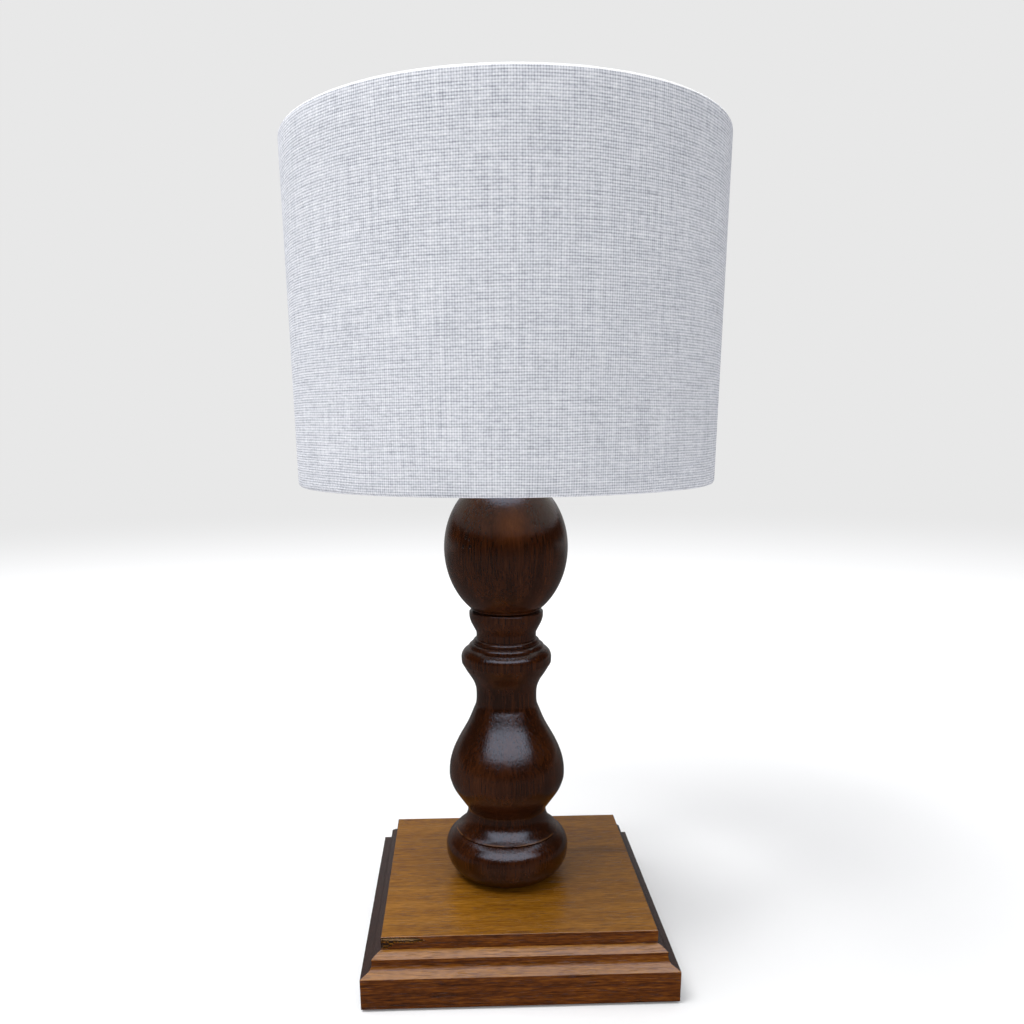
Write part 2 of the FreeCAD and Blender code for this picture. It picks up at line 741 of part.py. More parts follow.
# ---------------------------------------------------------------- shade
def rolled_edge(upward, side):
    """Edges of one face of the cloth, from the wall, over its wire and down the lining.

    upward is 1 at the top of the shade and -1 at the bottom; side picks the cloth's outer
    face (1) or the face towards the wire (-1).
    """
    radius = hem_outer_r if side > 0 else hem_inner_r
    centre_z = ring_top_z if upward > 0 else ring_bottom_z
    tail_r = liner_r - liner_t - soft_gap
    if side > 0:
        tail_r -= fabric_t

    def wrap(degrees):
        a = math.radians(degrees)
        return rz(ring_path_r + radius * math.cos(a), centre_z + upward * radius * math.sin(a))

    last = wrap(hem_turn)
    turn = math.radians(hem_turn)
    run = (tail_r - last.x) / -math.sin(turn)
    corner = rz(tail_r, last.z + upward * run * math.cos(turn))
    tail_end = rz(tail_r, centre_z - upward * hem_drop)
    return [arc(wrap(0), wrap(hem_turn / 2), last), line(last, corner), line(corner, tail_end)]


def make_fabric():
    edges = []
    for side in (1, -1):
        top = rolled_edge(1, side)
        bottom = rolled_edge(-1, side)
        wall_r = ring_path_r + (hem_outer_r if side > 0 else hem_inner_r)
        edges += top + bottom
        edges.append(line(rz(wall_r, ring_bottom_z), rz(wall_r, ring_top_z)))
    outer_r = liner_r - liner_t - soft_gap
    for z in (ring_top_z - hem_drop, ring_bottom_z + hem_drop):
        edges.append(line(rz(outer_r - fabric_t, z), rz(outer_r, z)))
    cloth = turned(edges)
    for k in range(spider_arms):
        notch = block(ring_path_r - 2 * hem_outer_r, ring_path_r, -hem_notch / 2, hem_notch / 2,
                      ring_top_z - hem_drop - past, ring_top_z + ring_wire_r / 2)
        notch.rotate(V(0, 0, 0), UP, spider_first + 360.0 / spider_arms * k)
        cloth = cloth.cut(notch)
    save("shade_fabric", cloth)


def make_shade_frame():
    liner_foot = ring_bottom_z + hem_inner_r
    liner_head = ring_top_z - hem_inner_r
    save("shade_lining", tube(liner_r, liner_r - liner_t, liner_foot, liner_head))

    section = Part.makeCircle(ring_wire_r, rz(ring_path_r, ring_bottom_z), V(0, 1, 0))
    bottom = Part.Face(Part.Wire(section)).revolve(V(0, 0, 0), UP, 360)
    save("shade_bottom_ring", bottom)

    top = bottom.copy()
    top.translate(V(0, 0, ring_top_z - ring_bottom_z))
    washer_mid = washer_seat_z + spider_washer_t / 2
    spider = tube(spider_washer_r, stud_r + running_gap, washer_seat_z,
                  washer_seat_z + spider_washer_t)
    for k in range(spider_arms):
        path = bent_path([V(ring_path_r, 0, ring_top_z),
                          V(ring_path_r - spider_bend, 0, washer_mid),
                          V(spider_washer_r - spider_root, 0, washer_mid)], [spider_bend_r])
        arm = wire_rod(path, spider_wire_r)
        arm.rotate(V(0, 0, 0), UP, spider_first + 360.0 / spider_arms * k)
        spider = spider.fuse(arm)
    save("shade_spider", spider.fuse(top).removeSplitter())


# ---------------------------------------------------------------- socket and switch
front = V(0, -1, 0)


def stem_slot():
    """Room for the switch stem: a slot open at the foot of a sleeve."""
    half = stem_r + slot_gap
    z = socket_z + stem_z
    reach = 2 * shell_r
    hole = rod_along(front, half, 0, reach, z)
    return hole.fuse(block(-half, half, -reach, 0, socket_z, z))


def make_cap():
    """The socket's spun cap, which screws on to the rod and holds the shell in its skirt."""
    z = socket_z
    hub = rz(cap_hub_r, z + cap_hub_h)
    skirt = rz(cap_r, z + cap_skirt_z)
    inner_skirt = rz(cap_bore_r, z + cap_skirt_z)
    floor = rz(cap_hub_r + cap_inner_step, z + cap_floor_h)
    top_z = z + cap_top_z
    save("socket_cap", turned([
        line(rz(rod_fit_r, z), rz(cap_hub_r, z)),
        line(rz(cap_hub_r, z), hub),
        bulged(hub, skirt, cap_bulge),
        line(skirt, rz(cap_r, top_z)),
        line(rz(cap_r, top_z), rz(cap_bore_r, top_z)),
        line(rz(cap_bore_r, top_z), inner_skirt),
        bulged(inner_skirt, floor, -cap_inner_bulge),
        line(floor, rz(rod_fit_r, floor.z)),
        line(rz(rod_fit_r, floor.z), rz(rod_fit_r, z)),
    ]))


def make_shell():
    """The metal shell with its rolled lip, and the insulating sleeve inside it."""
    z = socket_z
    foot = z + shell_foot_z
    head = z + shell_top_z
    lip_r = shell_r + shell_lip
    shell = turned([
        line(rz(shell_bore_r, foot), rz(shell_r, foot)),
        line(rz(shell_r, foot), rz(shell_r, head - shell_lip)),
        arc(rz(shell_r, head - shell_lip), rz(lip_r, head - shell_lip / 2), rz(shell_r, head)),
        line(rz(shell_r, head), rz(shell_bore_r, head)),
        line(rz(shell_bore_r, head), rz(shell_bore_r, foot)),
    ])
    save("socket_shell", shell.cut(stem_slot()))

    sleeve = tube(sleeve_r, sleeve_bore_r, z + sleeve_foot_z, z + sleeve_top_z)
    save("socket_sleeve", sleeve.cut(stem_slot()))


def make_core():
    """The moulded core with its terminal screws, and the contacts that seat on it."""
    z = socket_z
    core_foot = z + core_foot_z
    core = cylinder(core_r, core_foot, core_seat_z)
    core = core.cut(rod_along(front, stem_r + running_gap, core_r - stem_depth - face_gap,
                              core_r + past, z + stem_z))
    screws = []
    flat = core_r - terminal_depth
    screw_z = core_foot + terminal_pocket_h / 2
    for side in (-1, 1):
        direction = V(side, 0, 0)
        far = side * (core_r + past)
        near = side * flat
        core = core.cut(block(min(near, far), max(near, far), -terminal_pocket_w / 2,
                              terminal_pocket_w / 2, core_foot - past,
                              core_foot + terminal_pocket_h))
        core = core.cut(rod_along(direction, terminal_shank_r + running_gap,
                                  flat - terminal_shank_len - face_gap, core_r, screw_z))
        head_piece = rod_along(direction, terminal_head_r, flat, flat + terminal_head_t, screw_z)
        shank = rod_along(direction, terminal_shank_r, flat - terminal_shank_len, flat, screw_z)
        kerf = block(min(near, far), max(near, far), -terminal_head_r, terminal_head_r,
                     screw_z - terminal_slot_w / 2, screw_z + terminal_slot_w / 2)
        kerf.translate(direction * (terminal_head_t - terminal_slot_d))
        screws.append(head_piece.fuse(shank).cut(kerf).removeSplitter())
    wire_hole = cylinder(rod_bore_r, core_foot - past, core_foot + terminal_pocket_h)
    save("socket_core", core.cut(wire_hole))
    save("terminal_screws", *screws)

    seat = core_seat_z
    save("screw_shell", tube(screw_shell_r, screw_bore_r, seat, seat + screw_shell_h))
    save("centre_contact", turned_points([
        (0, seat), (contact_r, seat), (contact_r, seat + contact_edge_t),
        (contact_flat_r, seat + contact_t), (0, seat + contact_t)]))


def make_switch_knob():
    """A fluted knob on a stem that turns in the socket's core."""
    height = socket_z + stem_z
    stem = rod_along(front, stem_r, core_r - stem_depth, knob_start + stem_in_knob, height)
    knob = rod_along(front, knob_r, knob_start, knob_start + knob_len, height)
    tip_y = -(knob_start + knob_len)
    tip = [e for e in knob.Edges if abs(e.CenterOfMass.y - tip_y) < 1e-6]
    knob = knob.makeFillet(knob_tip_r, tip)
    for k in range(knob_flutes):
        a = 2 * math.pi * k / knob_flutes
        flute = rod_along(front, knob_flute_r, knob_start + knob_collar, past - tip_y, 0)
        flute.translate(V(knob_r * math.cos(a), 0, height + knob_r * math.sin(a)))
        knob = knob.cut(flute)
    save("switch_knob", knob.fuse(stem).removeSplitter())


# ---------------------------------------------------------------- bulb
def bulb_skin(inset):
    """The glass's outline from its neck to its crown, set in by inset."""
    slanted = inset * math.sqrt(0.5)
    neck = rz(bulb_neck_r - inset, bulb_z + bulb_neck_h)
    wide = rz(bulb_r - inset, bulb_z + bulb_wide_h)
    tip = rz(0, bulb_z + bulb_len - inset)
    flank = rz(bulb_r * bulb_flank_out - inset,
               neck.z + (bulb_wide_h - bulb_neck_h) * bulb_flank_up)
    crown = rz(bulb_r * bulb_crown_out - slanted,
               wide.z + (bulb_len - bulb_wide_h) * bulb_crown_up - slanted)
    return [smooth([neck, flank, wide], V(0.1, 0, 1), UP),
            smooth([wide, crown, tip], UP, V(-1, 0, 0))]


def make_bulb():
    z = bulb_z
    foot = z + bulb_cap_foot_h
    save("bulb_tip", turned_points([
        (0, z), (bulb_contact_r, z), (bulb_contact_r, z + bulb_contact_t), (bulb_tip_r, foot),
        (bulb_tip_r, z + bulb_tip_h), (0, z + bulb_tip_h)]))

    hole_r = bulb_tip_r + running_gap
    taper = foot + bulb_cap_taper_h
    top = z + bulb_cap_h
    cap_bore = bulb_cap_r - bulb_cap_wall
    save("bulb_cap", turned_points([
        (hole_r, foot), (hole_r + bulb_cap_rim, foot), (bulb_cap_r, taper), (bulb_cap_r, top),
        (cap_bore, top), (cap_bore, taper + bulb_cap_wall), (hole_r, foot + bulb_cap_floor_t)]))

    tube_r = cap_bore - face_gap
    tube_foot = top - bulb_in_cap
    shoulder = top + bulb_shoulder_gap
    neck_z = z + bulb_neck_h
    outer = [(bulb_neck_r, neck_z), (bulb_neck_r - bulb_neck_step, shoulder),
             (tube_r, shoulder), (tube_r, tube_foot), (tube_r - bulb_wall, tube_foot),
             (tube_r - bulb_wall, shoulder), (bulb_neck_r - bulb_wall, neck_z)]
    crown_z = z + bulb_len
    crown_wall = line(rz(0, crown_z - bulb_wall), rz(0, crown_z))
    neck = polyline([rz(*point) for point in outer])
    save("bulb_glass", turned(bulb_skin(0) + bulb_skin(bulb_wall) + [crown_wall] + neck))


make_plinth()
make_lower_column()
make_upper_column()
make_fixings()
make_saddle()
make_harp()
make_stud()
make_finial()
make_fabric()
make_shade_frame()
make_cap()
make_shell()
make_core()
make_switch_knob()
make_bulb()
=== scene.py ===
import math

import bmesh
import bpy
from mathutils import Matrix, Vector, noise


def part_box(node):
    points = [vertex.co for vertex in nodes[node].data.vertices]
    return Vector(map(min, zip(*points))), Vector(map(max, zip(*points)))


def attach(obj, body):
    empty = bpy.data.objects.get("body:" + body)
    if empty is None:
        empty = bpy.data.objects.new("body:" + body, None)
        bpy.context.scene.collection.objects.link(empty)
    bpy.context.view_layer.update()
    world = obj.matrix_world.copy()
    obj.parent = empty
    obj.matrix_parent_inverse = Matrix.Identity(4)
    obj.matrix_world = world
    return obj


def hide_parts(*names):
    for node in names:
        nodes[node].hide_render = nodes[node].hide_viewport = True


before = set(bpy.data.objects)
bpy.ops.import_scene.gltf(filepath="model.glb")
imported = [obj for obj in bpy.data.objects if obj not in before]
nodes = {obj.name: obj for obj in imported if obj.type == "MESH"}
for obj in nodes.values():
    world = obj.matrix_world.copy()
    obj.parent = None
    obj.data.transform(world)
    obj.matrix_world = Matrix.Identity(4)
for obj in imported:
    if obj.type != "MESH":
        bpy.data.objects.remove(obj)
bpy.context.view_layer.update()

# ---------------------------------------------------------------- places in the frame
MM = 0.001
MEETS = 1e-6                                 # points this close are one
PLINTH_LOW, PLINTH_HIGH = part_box("base_plinth")
LOWER_LOW, LOWER_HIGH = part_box("lower_column")
SHADE_LOW, SHADE_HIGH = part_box("shade_fabric")
FELT_LOW, FELT_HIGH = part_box("felt_pad")
SEAT_Z = PLINTH_HIGH.z                       # the column stands on the plinth here
TURNED_BALL = Vector((0, 0, SEAT_Z + 269.6 * MM))
RING_Z = SEAT_Z + 183 * MM
FOOT_EDGE_Z = SEAT_Z + 39.6 * MM
SHADE_R = SHADE_HIGH.x


# ---------------------------------------------------------------- shader writing
class Wire:
    """An output of a shader node, which takes part in sums written as expressions."""

    def __init__(self, paint, socket):
        self.paint = paint
        self.socket = socket

    def _sum(self, operation, first, second):
        return self.paint.node("Math", {"operation": operation}, {0: first, 1: second})

    def __add__(self, other):
        return self._sum("ADD", self, other)

    def __sub__(self, other):
        return self._sum("SUBTRACT", self, other)

    def __mul__(self, other):
        return self._sum("MULTIPLY", self, other)

    def __truediv__(self, other):
        return self._sum("DIVIDE", self, other)

    def __rsub__(self, other):
        return self._sum("SUBTRACT", other, self)

    __radd__ = __add__
    __rmul__ = __mul__


class Paint:
    """One material or world and the nodes in it."""

    def __init__(self, name, owner=None):
        self.material = owner or bpy.data.materials.new(name)
        self.material.use_nodes = True
        self.tree = self.material.node_tree
        self.tree.nodes.clear()

    def node(self, kind, settings=None, sockets=None, out=0):
        """A node by its type, with its settings first and then its sockets' values or links."""
        made = self.tree.nodes.new("ShaderNode" + kind)
        for name, value in (settings or {}).items():
            if name == "stops":
                self._stops(made.color_ramp, value)
            else:
                setattr(made, name, value)
        for key, value in (sockets or {}).items():
            if isinstance(value, Wire):
                self.tree.links.new(value.socket, made.inputs[key])
            else:
                made.inputs[key].default_value = value
        return Wire(self, made.outputs[out]) if made.outputs else None

    def _stops(self, ramp, stops):
        """A ramp's places and colours."""
        while len(ramp.elements) < len(stops):
            ramp.elements.new(1.0)
        for element, (place, colour) in zip(ramp.elements, stops):
            element.position = place
            element.color = (*colour, 1.0)

    # shorthand for the nodes used most
    def place(self, scale=(1, 1, 1), shift=(0, 0, 0)):
        here = self.node("TexCoord", out="Object")
        return self.node("Mapping", None, {"Vector": here, "Scale": scale, "Location": shift})

    def noise(self, where, scale, detail=2.0, roughness=0.5):
        return self.node("TexNoise", None, {"Vector": where, "Scale": scale, "Detail": detail,
                                            "Roughness": roughness})

    def math(self, operation, first, second=0.0):
        return self.node("Math", {"operation": operation}, {0: first, 1: second})

    def band(self, value, low, high, start=0.0, end=1.0):
        """The value's place between low and high, smoothly, from start to end."""
        return self.node("MapRange", {"interpolation_type": "SMOOTHSTEP"},
                         {"Value": value, "From Min": low, "From Max": high,
                          "To Min": start, "To Max": end})

    def ramp(self, value, stops):
        return self.node("ValToRGB", {"stops": stops}, {0: value})

    def tint(self, share, first, second, blend="MIX"):
        """A colour between two, or the first changed by the second in another way."""
        def colour(value):
            return value if isinstance(value, Wire) else (*value, 1.0)
        return self.node("Mix", {"data_type": "RGBA", "blend_type": blend},
                         {0: share, 6: colour(first), 7: colour(second)}, out=2)

    def axes(self, vector):
        parts = self.node("SeparateXYZ", None, {0: vector}).socket.node.outputs
        return [Wire(self, part) for part in parts]

    def away(self, where, point):
        """The distance from a point."""
        return self.node("VectorMath", {"operation": "DISTANCE"}, {0: where, 1: point}, "Value")

    def bump(self, height, distance, strength=1.0):
        return self.node("Bump", None, {"Height": height, "Distance": distance,
                                        "Strength": strength})

    def finish(self, **sockets):
        """The surface: a Principled shader with these values, and the material's output."""
        shader = self.node("BsdfPrincipled", None,
                           {key.replace("_", " "): value for key, value in sockets.items()})
        self.node("OutputMaterial", None, {"Surface": shader})
        return self.material


def srgb(red, green, blue):
    """A colour given as it looks on a screen, 0 to 255."""
    def linear(part):
        part /= 255
        return part / 12.92 if part <= 0.04045 else ((part + 0.055) / 1.055) ** 2.4
    return (linear(red), linear(green), linear(blue))


# ---------------------------------------------------------------- wood
VARNISH = 0.38          # how strongly the worn varnish mirrors


def plinth_wood():
    """Golden brown plank, its grain along X, under a satin varnish. Faces that look up are
    painted lighter and upright faces darker, as painted light and shade; the faces that look
    along X are darkest, for their end grain and painted shade.
    """
    p = Paint("plinth_wood")
    x, y, z = p.axes(p.place())
    nx, ny, nz = p.axes(p.node("NewGeometry", out="Normal"))
    # painted light and shade: top says how far a face looks up; such faces get the lighter golden
    # ramp, upright faces the darker edge ramp
    top = p.band(nz, 0.10, 0.98)
    # end says how far a face looks along X; those faces get the darkest ramp, for their end grain
    # and for painted shade on the plinth's sides
    end = p.band(p.math("ABSOLUTE", nx), 0.10, 0.30)
    wander = p.noise(p.place(scale=(0.22, 1.0, 1.0)), 11.0, 2.0)
    depth = z + 0.20
    side = y - 0.02
    radius = p.math("SQRT", side * side + depth * depth) + wander * 0.020
    rings = p.math("SINE", radius * (2 * math.pi / 0.0075)) * 0.5 + 0.5
    fibre = p.noise(p.place(scale=(0.040, 1.0, 1.0)), 1000.0, 3.0, 0.6)
    flow = p.noise(p.place(scale=(0.09, 1.0, 1.0)), 75.0, 3.0, 0.55)
    broad = p.noise(p.place(scale=(0.20, 1.0, 1.0), shift=(0.2, 0.1, 0)), 14.0, 2.0)
    fleck = p.noise(p.place(scale=(0.20, 1.0, 1.0), shift=(0.1, 0.2, 0)), 700.0, 2.0)
    tone = rings * 0.06 + fibre * 0.52 + fleck * 0.34 + flow * 0.16 + broad * 0.22 - 0.15
    lit_top_colour = p.ramp(tone, [(0.28, srgb(87, 48, 6)), (0.44, srgb(119, 74, 14)),
                           (0.56, srgb(138, 90, 22)), (0.74, srgb(167, 115, 45))])
    edge = p.ramp(tone, [(0.30, srgb(34, 12, 0)), (0.46, srgb(78, 36, 0)),
                         (0.58, srgb(104, 53, 1)), (0.74, srgb(140, 82, 8))])
    ends = p.ramp(tone, [(0.30, srgb(30, 18, 17)), (0.75, srgb(60, 37, 28))])
    # painted light: lighter on faces that look up, darker on upright faces
    colour = p.tint(top, edge, lit_top_colour)
    colour = p.tint(end, colour, ends)
    streak = p.band(p.noise(p.place(scale=(0.10, 1.0, 1.0), shift=(0.43, 0.1, 0.0)), 30.0, 3.0),
                    0.60, 0.72)
    colour = p.tint(streak * 0.38, colour, srgb(74, 44, 14))
    pores = p.band(p.noise(p.place(scale=(0.05, 1.0, 1.0), shift=(0.0, 0.3, 0.2)), 1300.0, 1.0),
                   0.60, 0.70)
    colour = p.tint(pores * 0.45, colour, srgb(48, 24, 4))
    split = p.node("Attribute", {"attribute_name": "split"}, out="Fac")
    bare = p.node("Attribute", {"attribute_name": "bare"}, out="Fac")
    colour = p.tint(bare * (0.45 + fibre * 0.7), colour, srgb(158, 124, 84))
    colour = p.tint(split, colour, srgb(22, 11, 6))
    mottle = p.noise(p.place(scale=(0.5, 1.0, 1.0)), 520.0, 2.0)
    height = fibre * 0.5 - pores * 0.7 + mottle * 0.6
    return p.finish(Base_Color=colour, Roughness=fibre * 0.12 + 0.17 + split * 0.5,
                    Specular_IOR_Level=VARNISH, Normal=p.bump(height, 0.00022, 0.75))


def column_wood(name, marks):
    """Dark stained turned wood, its grain upright, under a semi-gloss varnish."""
    p = Paint(name)
    here = p.place()
    z = p.axes(here)[2]
    fibre = p.noise(p.place(scale=(1.0, 1.0, 0.045)), 620.0, 3.0, 0.62)
    figure = p.noise(p.place(scale=(1.0, 1.0, 0.16)), 95.0, 3.0, 0.5)
    broad = p.noise(p.place(scale=(1.0, 1.0, 0.55)), 24.0, 2.0)
    tone = fibre * 0.42 + figure * 0.36 + broad * 0.34 - 0.06
    colour = p.ramp(tone, [(0.30, srgb(24, 9, 2)), (0.46, srgb(42, 17, 4)),
                           (0.60, srgb(60, 28, 7)), (0.80, srgb(88, 47, 12))])
    pores = p.band(p.noise(p.place(scale=(1.0, 1.0, 0.06)), 1100.0, 1.0), 0.60, 0.72)
    colour = p.tint(pores * 0.6, colour, srgb(17, 7, 3))
    mottle = p.noise(p.place(scale=(1.0, 1.0, 0.35)), 640.0, 2.0, 0.6)
    height = fibre * 0.5 - pores * 0.3 + mottle * 0.7
    # the marks: wear and a crack on the lower piece; pits and a painted sheen on the ball
    colour, height = marks(p, here, z, colour, height)
    return p.finish(Base_Color=colour, Roughness=fibre * 0.10 + 0.15,
                    Specular_IOR_Level=VARNISH, Normal=p.bump(height, 0.00020, 0.85))


def lower_marks(p, here, z, colour, height):
    """The worn edge of the groove above the foot, and a hooked crack in the ring."""
    rub = p.band(p.noise(p.place(), 70.0, 2.0), 0.40, 0.58)
    worn = p.band(p.math("ABSOLUTE", z - FOOT_EDGE_Z), 0.0010, 0.0002) * rub
    colour = p.tint(worn * 0.45, colour, srgb(128, 86, 50))
    hook = Vector((-0.0286, -0.0208, RING_Z - 0.0062))
    ringed = p.math("ABSOLUTE", p.away(here, hook) - 0.0029)
    opened = p.band(z, hook.z - 0.0018, hook.z - 0.0002)
    stem = p.away(here, hook + Vector((0, 0, 0.0045)))
    crack = p.math("MAXIMUM", p.band(ringed, 0.00055, 0.00020) * opened,
                   p.band(stem, 0.0009, 0.0004))
    return p.tint(crack, colour, srgb(9, 5, 3)), height - crack * 4.0


def upper_marks_and_sheen(p, here, z, colour, height):
    """A painted warm sheen high on the front of the ball, and a few dark pits beside it."""
    # painted sheen: a warm lighter spot on the front of the ball
    painted_sheen_distance = p.away(here, TURNED_BALL + Vector((0.002, -0.0400, 0.0200)))
    colour = p.tint(p.band(painted_sheen_distance, 0.020, 0.002) * 0.24, colour, srgb(128, 66, 12))
    pits_at = p.away(here, TURNED_BALL + Vector((-0.0300, -0.0350, 0.0070)))
    cells = p.node("TexVoronoi", None, {"Vector": p.place(scale=(1.0, 1.0, 0.6)),
                                        "Scale": 330.0}, out="Distance")
    pits = p.band(cells, 0.32, 0.20) * p.band(pits_at, 0.0095, 0.0040)
    return p.tint(pits, colour, srgb(8, 4, 2)), height - pits * 4.0


# ---------------------------------------------------------------- cloth and felt
WEAVE_PITCH = 1.58 * MM


def linen():
    """Plain weave: threads that pass over and under, some thicker than others."""
    p = Paint("linen")
    x, y, z = p.axes(p.place())
    around = p.math("ARCTAN2", x, y * -1) * SHADE_R
    u = around / WEAVE_PITCH + p.noise(p.place(), 30.0, 2.0) * 1.2
    v = z / WEAVE_PITCH + p.noise(p.place(scale=(1.0, 1.0, 0.5)), 16.0, 2.0) * 1.1
    warp = p.math("SINE", u * math.pi)
    weft = p.math("SINE", v * math.pi)
    rows = p.math("ABSOLUTE", weft)
    columns = p.math("ABSOLUTE", warp)
    crossing = warp * weft

    def slub(along, across):
        return p.noise(p.node("CombineXYZ", None, {0: around * along, 2: z * across}), 1.0, 2.0)
    thick_rows = slub(34.0, 560.0)
    thick_columns = slub(560.0, 16.0)
    dashes = slub(210.0, 640.0)
    tone = (rows * 0.40 + columns * 0.27 + crossing * 0.05 + thick_rows * 0.50
            + thick_columns * 0.42 + dashes * 0.56 - 0.70)
    colour = p.ramp(tone, [(0.10, srgb(150, 153, 163)), (0.42, srgb(206, 208, 215)),
                           (0.62, srgb(227, 228, 234)), (0.95, srgb(250, 251, 253))])
    # painted highlight: the top 1 to 2 mm of the cloth is painted near white, for the lit edge of
    # the rim
    painted_rim_highlight = p.band(z, SHADE_HIGH.z - 2.2 * MM, SHADE_HIGH.z - 1.0 * MM)
    colour = p.tint(painted_rim_highlight, colour, srgb(250, 250, 250))
    height = rows * 0.5 + columns * 0.4 + crossing * 0.2 + thick_rows * 0.6 + dashes * 0.4
    return p.finish(Base_Color=colour, Roughness=0.88, Specular_IOR_Level=0.2,
                    Sheen_Weight=0.08, Sheen_Roughness=0.5,
                    Normal=p.bump(height, 0.00030, 0.6))


def felt():
    """Dark green felt: fluff and soft lumps."""
    p = Paint("felt")
    fluff = p.noise(p.place(), 420.0, 4.0, 0.7)
    lumps = p.noise(p.place(), 60.0, 2.0)
    colour = p.ramp(fluff * 0.7 + lumps * 0.3, [(0.3, srgb(30, 44, 33)), (0.7, srgb(60, 80, 62))])
    return p.finish(Base_Color=colour, Roughness=0.95, Specular_IOR_Level=0.1,
                    Sheen_Weight=0.4, Sheen_Roughness=0.6, Normal=p.bump(fluff, 0.0005, 0.8))


# ---------------------------------------------------------------- metals and plastics
def metal(name, light, dark, roughness, fine=700.0):
    """Plated or lacquered metal with faint cloudiness and fine marks."""
    p = Paint(name)
    cloud = p.noise(p.place(), 90.0, 3.0)
    marks = p.noise(p.place(scale=(1.0, 1.0, 0.2)), fine, 3.0, 0.6)
    colour = p.tint(p.band(cloud, 0.35, 0.70), light, dark)
    return p.finish(Base_Color=colour, Metallic=1.0,
                    Roughness=cloud * 0.10 + marks * 0.08 + (roughness - 0.09),
                    Normal=p.bump(marks, 0.00002, 0.5))


def moulded(name, light, dark, roughness, grain=600.0, height=0.00005):
    """Moulded plastic, pressed fibre or powder coat: a fine skin with slight mottling."""
    p = Paint(name)
    skin = p.noise(p.place(), grain, 3.0, 0.6)
    mottle = p.noise(p.place(), 70.0, 2.0)
    colour = p.tint(skin * 0.5 + mottle * 0.5, light, dark)
    return p.finish(Base_Color=colour, Roughness=skin * 0.12 + (roughness - 0.06),
                    Normal=p.bump(skin, height, 0.6))


MATERIALS = {
    "plinth_wood": plinth_wood(),
    "lower_wood": column_wood("column_wood_lower", lower_marks),
    "upper_wood": column_wood("column_wood_upper", upper_marks_and_sheen),
    "felt": felt(),
    "linen": linen(),
    "styrene": moulded("styrene", srgb(240, 240, 236), srgb(228, 228, 224), 0.55),
    "brass": metal("brass", srgb(214, 178, 104), srgb(182, 142, 74), 0.24),
    "nickel": metal("nickel", srgb(208, 206, 200), srgb(170, 168, 162), 0.22),
    "zinc": metal("zinc", srgb(190, 196, 202), srgb(150, 156, 162), 0.38),
    "white_wire": moulded("white_wire", srgb(236, 236, 232), srgb(218, 218, 214), 0.42),
    "fibre": moulded("fibre", srgb(150, 124, 92), srgb(108, 86, 60), 0.85, 350.0, 0.0002),
    "phenolic": moulded("phenolic", srgb(38, 34, 32), srgb(22, 20, 20), 0.36),
    "black_plastic": moulded("black_plastic", srgb(36, 36, 37), srgb(20, 20, 21), 0.38),
    "bush_plastic": moulded("bush_plastic", srgb(46, 46, 46), srgb(28, 28, 28), 0.62),
    "cap_alloy": metal("cap_alloy", srgb(206, 206, 204), srgb(176, 176, 172), 0.34),
    "bulb_glass": moulded("bulb_glass", srgb(244, 244, 240), srgb(234, 234, 230), 0.30),
    "tip_glass": moulded("tip_glass", srgb(34, 34, 38), srgb(18, 18, 20), 0.2),
}

FINISHES = {
    "plinth_wood": ["base_plinth"],
    "lower_wood": ["lower_column"],
    "upper_wood": ["upper_column"],
    "felt": ["felt_pad"],
    "linen": ["shade_fabric"],
    "styrene": ["shade_lining"],
    "brass": ["lock_nut", "check_ring", "finial", "socket_cap", "socket_shell",
              "terminal_screws", "screw_shell", "centre_contact"],
    "nickel": ["harp_saddle", "harp", "ferrule_left", "ferrule_right", "harp_stud"],
    "zinc": ["lamp_rod", "base_washer", "base_nut"],
    "white_wire": ["shade_bottom_ring", "shade_spider"],
    "fibre": ["socket_sleeve"],
    "phenolic": ["socket_core"],
    "black_plastic": ["switch_knob"],
    "bush_plastic": ["cord_grommet"],
    "cap_alloy": ["bulb_cap"],
    "bulb_glass": ["bulb_glass"],
    "tip_glass": ["bulb_tip"],
}
for finish_name, node_names in FINISHES.items():
    for node_name in node_names:
        slots = nodes[node_name].data.materials
        slots.clear()
        slots.append(MATERIALS[finish_name])


# ---------------------------------------------------------------- making pieces
def new_piece(name, bm, finish, body, smooth=True):
    """An object from a bmesh, with its finish, on its body."""
    mesh = bpy.data.meshes.new(name)
    bm.to_mesh(mesh)
    bm.free()
    for polygon in mesh.polygons:
        polygon.use_smooth = smooth
    piece = bpy.data.objects.new(name, mesh)
    bpy.context.scene.collection.objects.link(piece)
    piece.data.materials.append(MATERIALS[finish])
    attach(piece, body)
    return piece


def chain(bm, points):
    """A chain of edges through the points."""
    verts = [bm.verts.new(point) for point in points]
    return verts + [bm.edges.new(pair) for pair in zip(verts, verts[1:])]


def spun(bm, geometry, steps):
    """Spin an outline once about Z."""
    bmesh.ops.spin(bm, geom=geometry, cent=(0, 0, 0), axis=(0, 0, 1), dvec=(0, 0, 0),
                   angle=2 * math.pi, steps=steps, use_merge=True, use_duplicate=False)


def tidied(bm):
    """Merge what meets and turn the faces outwards."""
    bmesh.ops.remove_doubles(bm, verts=bm.verts, dist=MEETS)
    bmesh.ops.recalc_face_normals(bm, faces=bm.faces)


def cut(bm, faces, place, normal):
    """Cut these faces, and no others, along a plane."""
    geometry = set(faces)
    for face in faces:
        geometry.update(face.edges)
        geometry.update(face.verts)
    bmesh.ops.bisect_plane(bm, geom=list(geometry), dist=MEETS / 10, plane_co=place,
                           plane_no=normal)


# ---------------------------------------------------------------- the plinth with its split
ARRIS = 0.8 * MM                             # softened edges
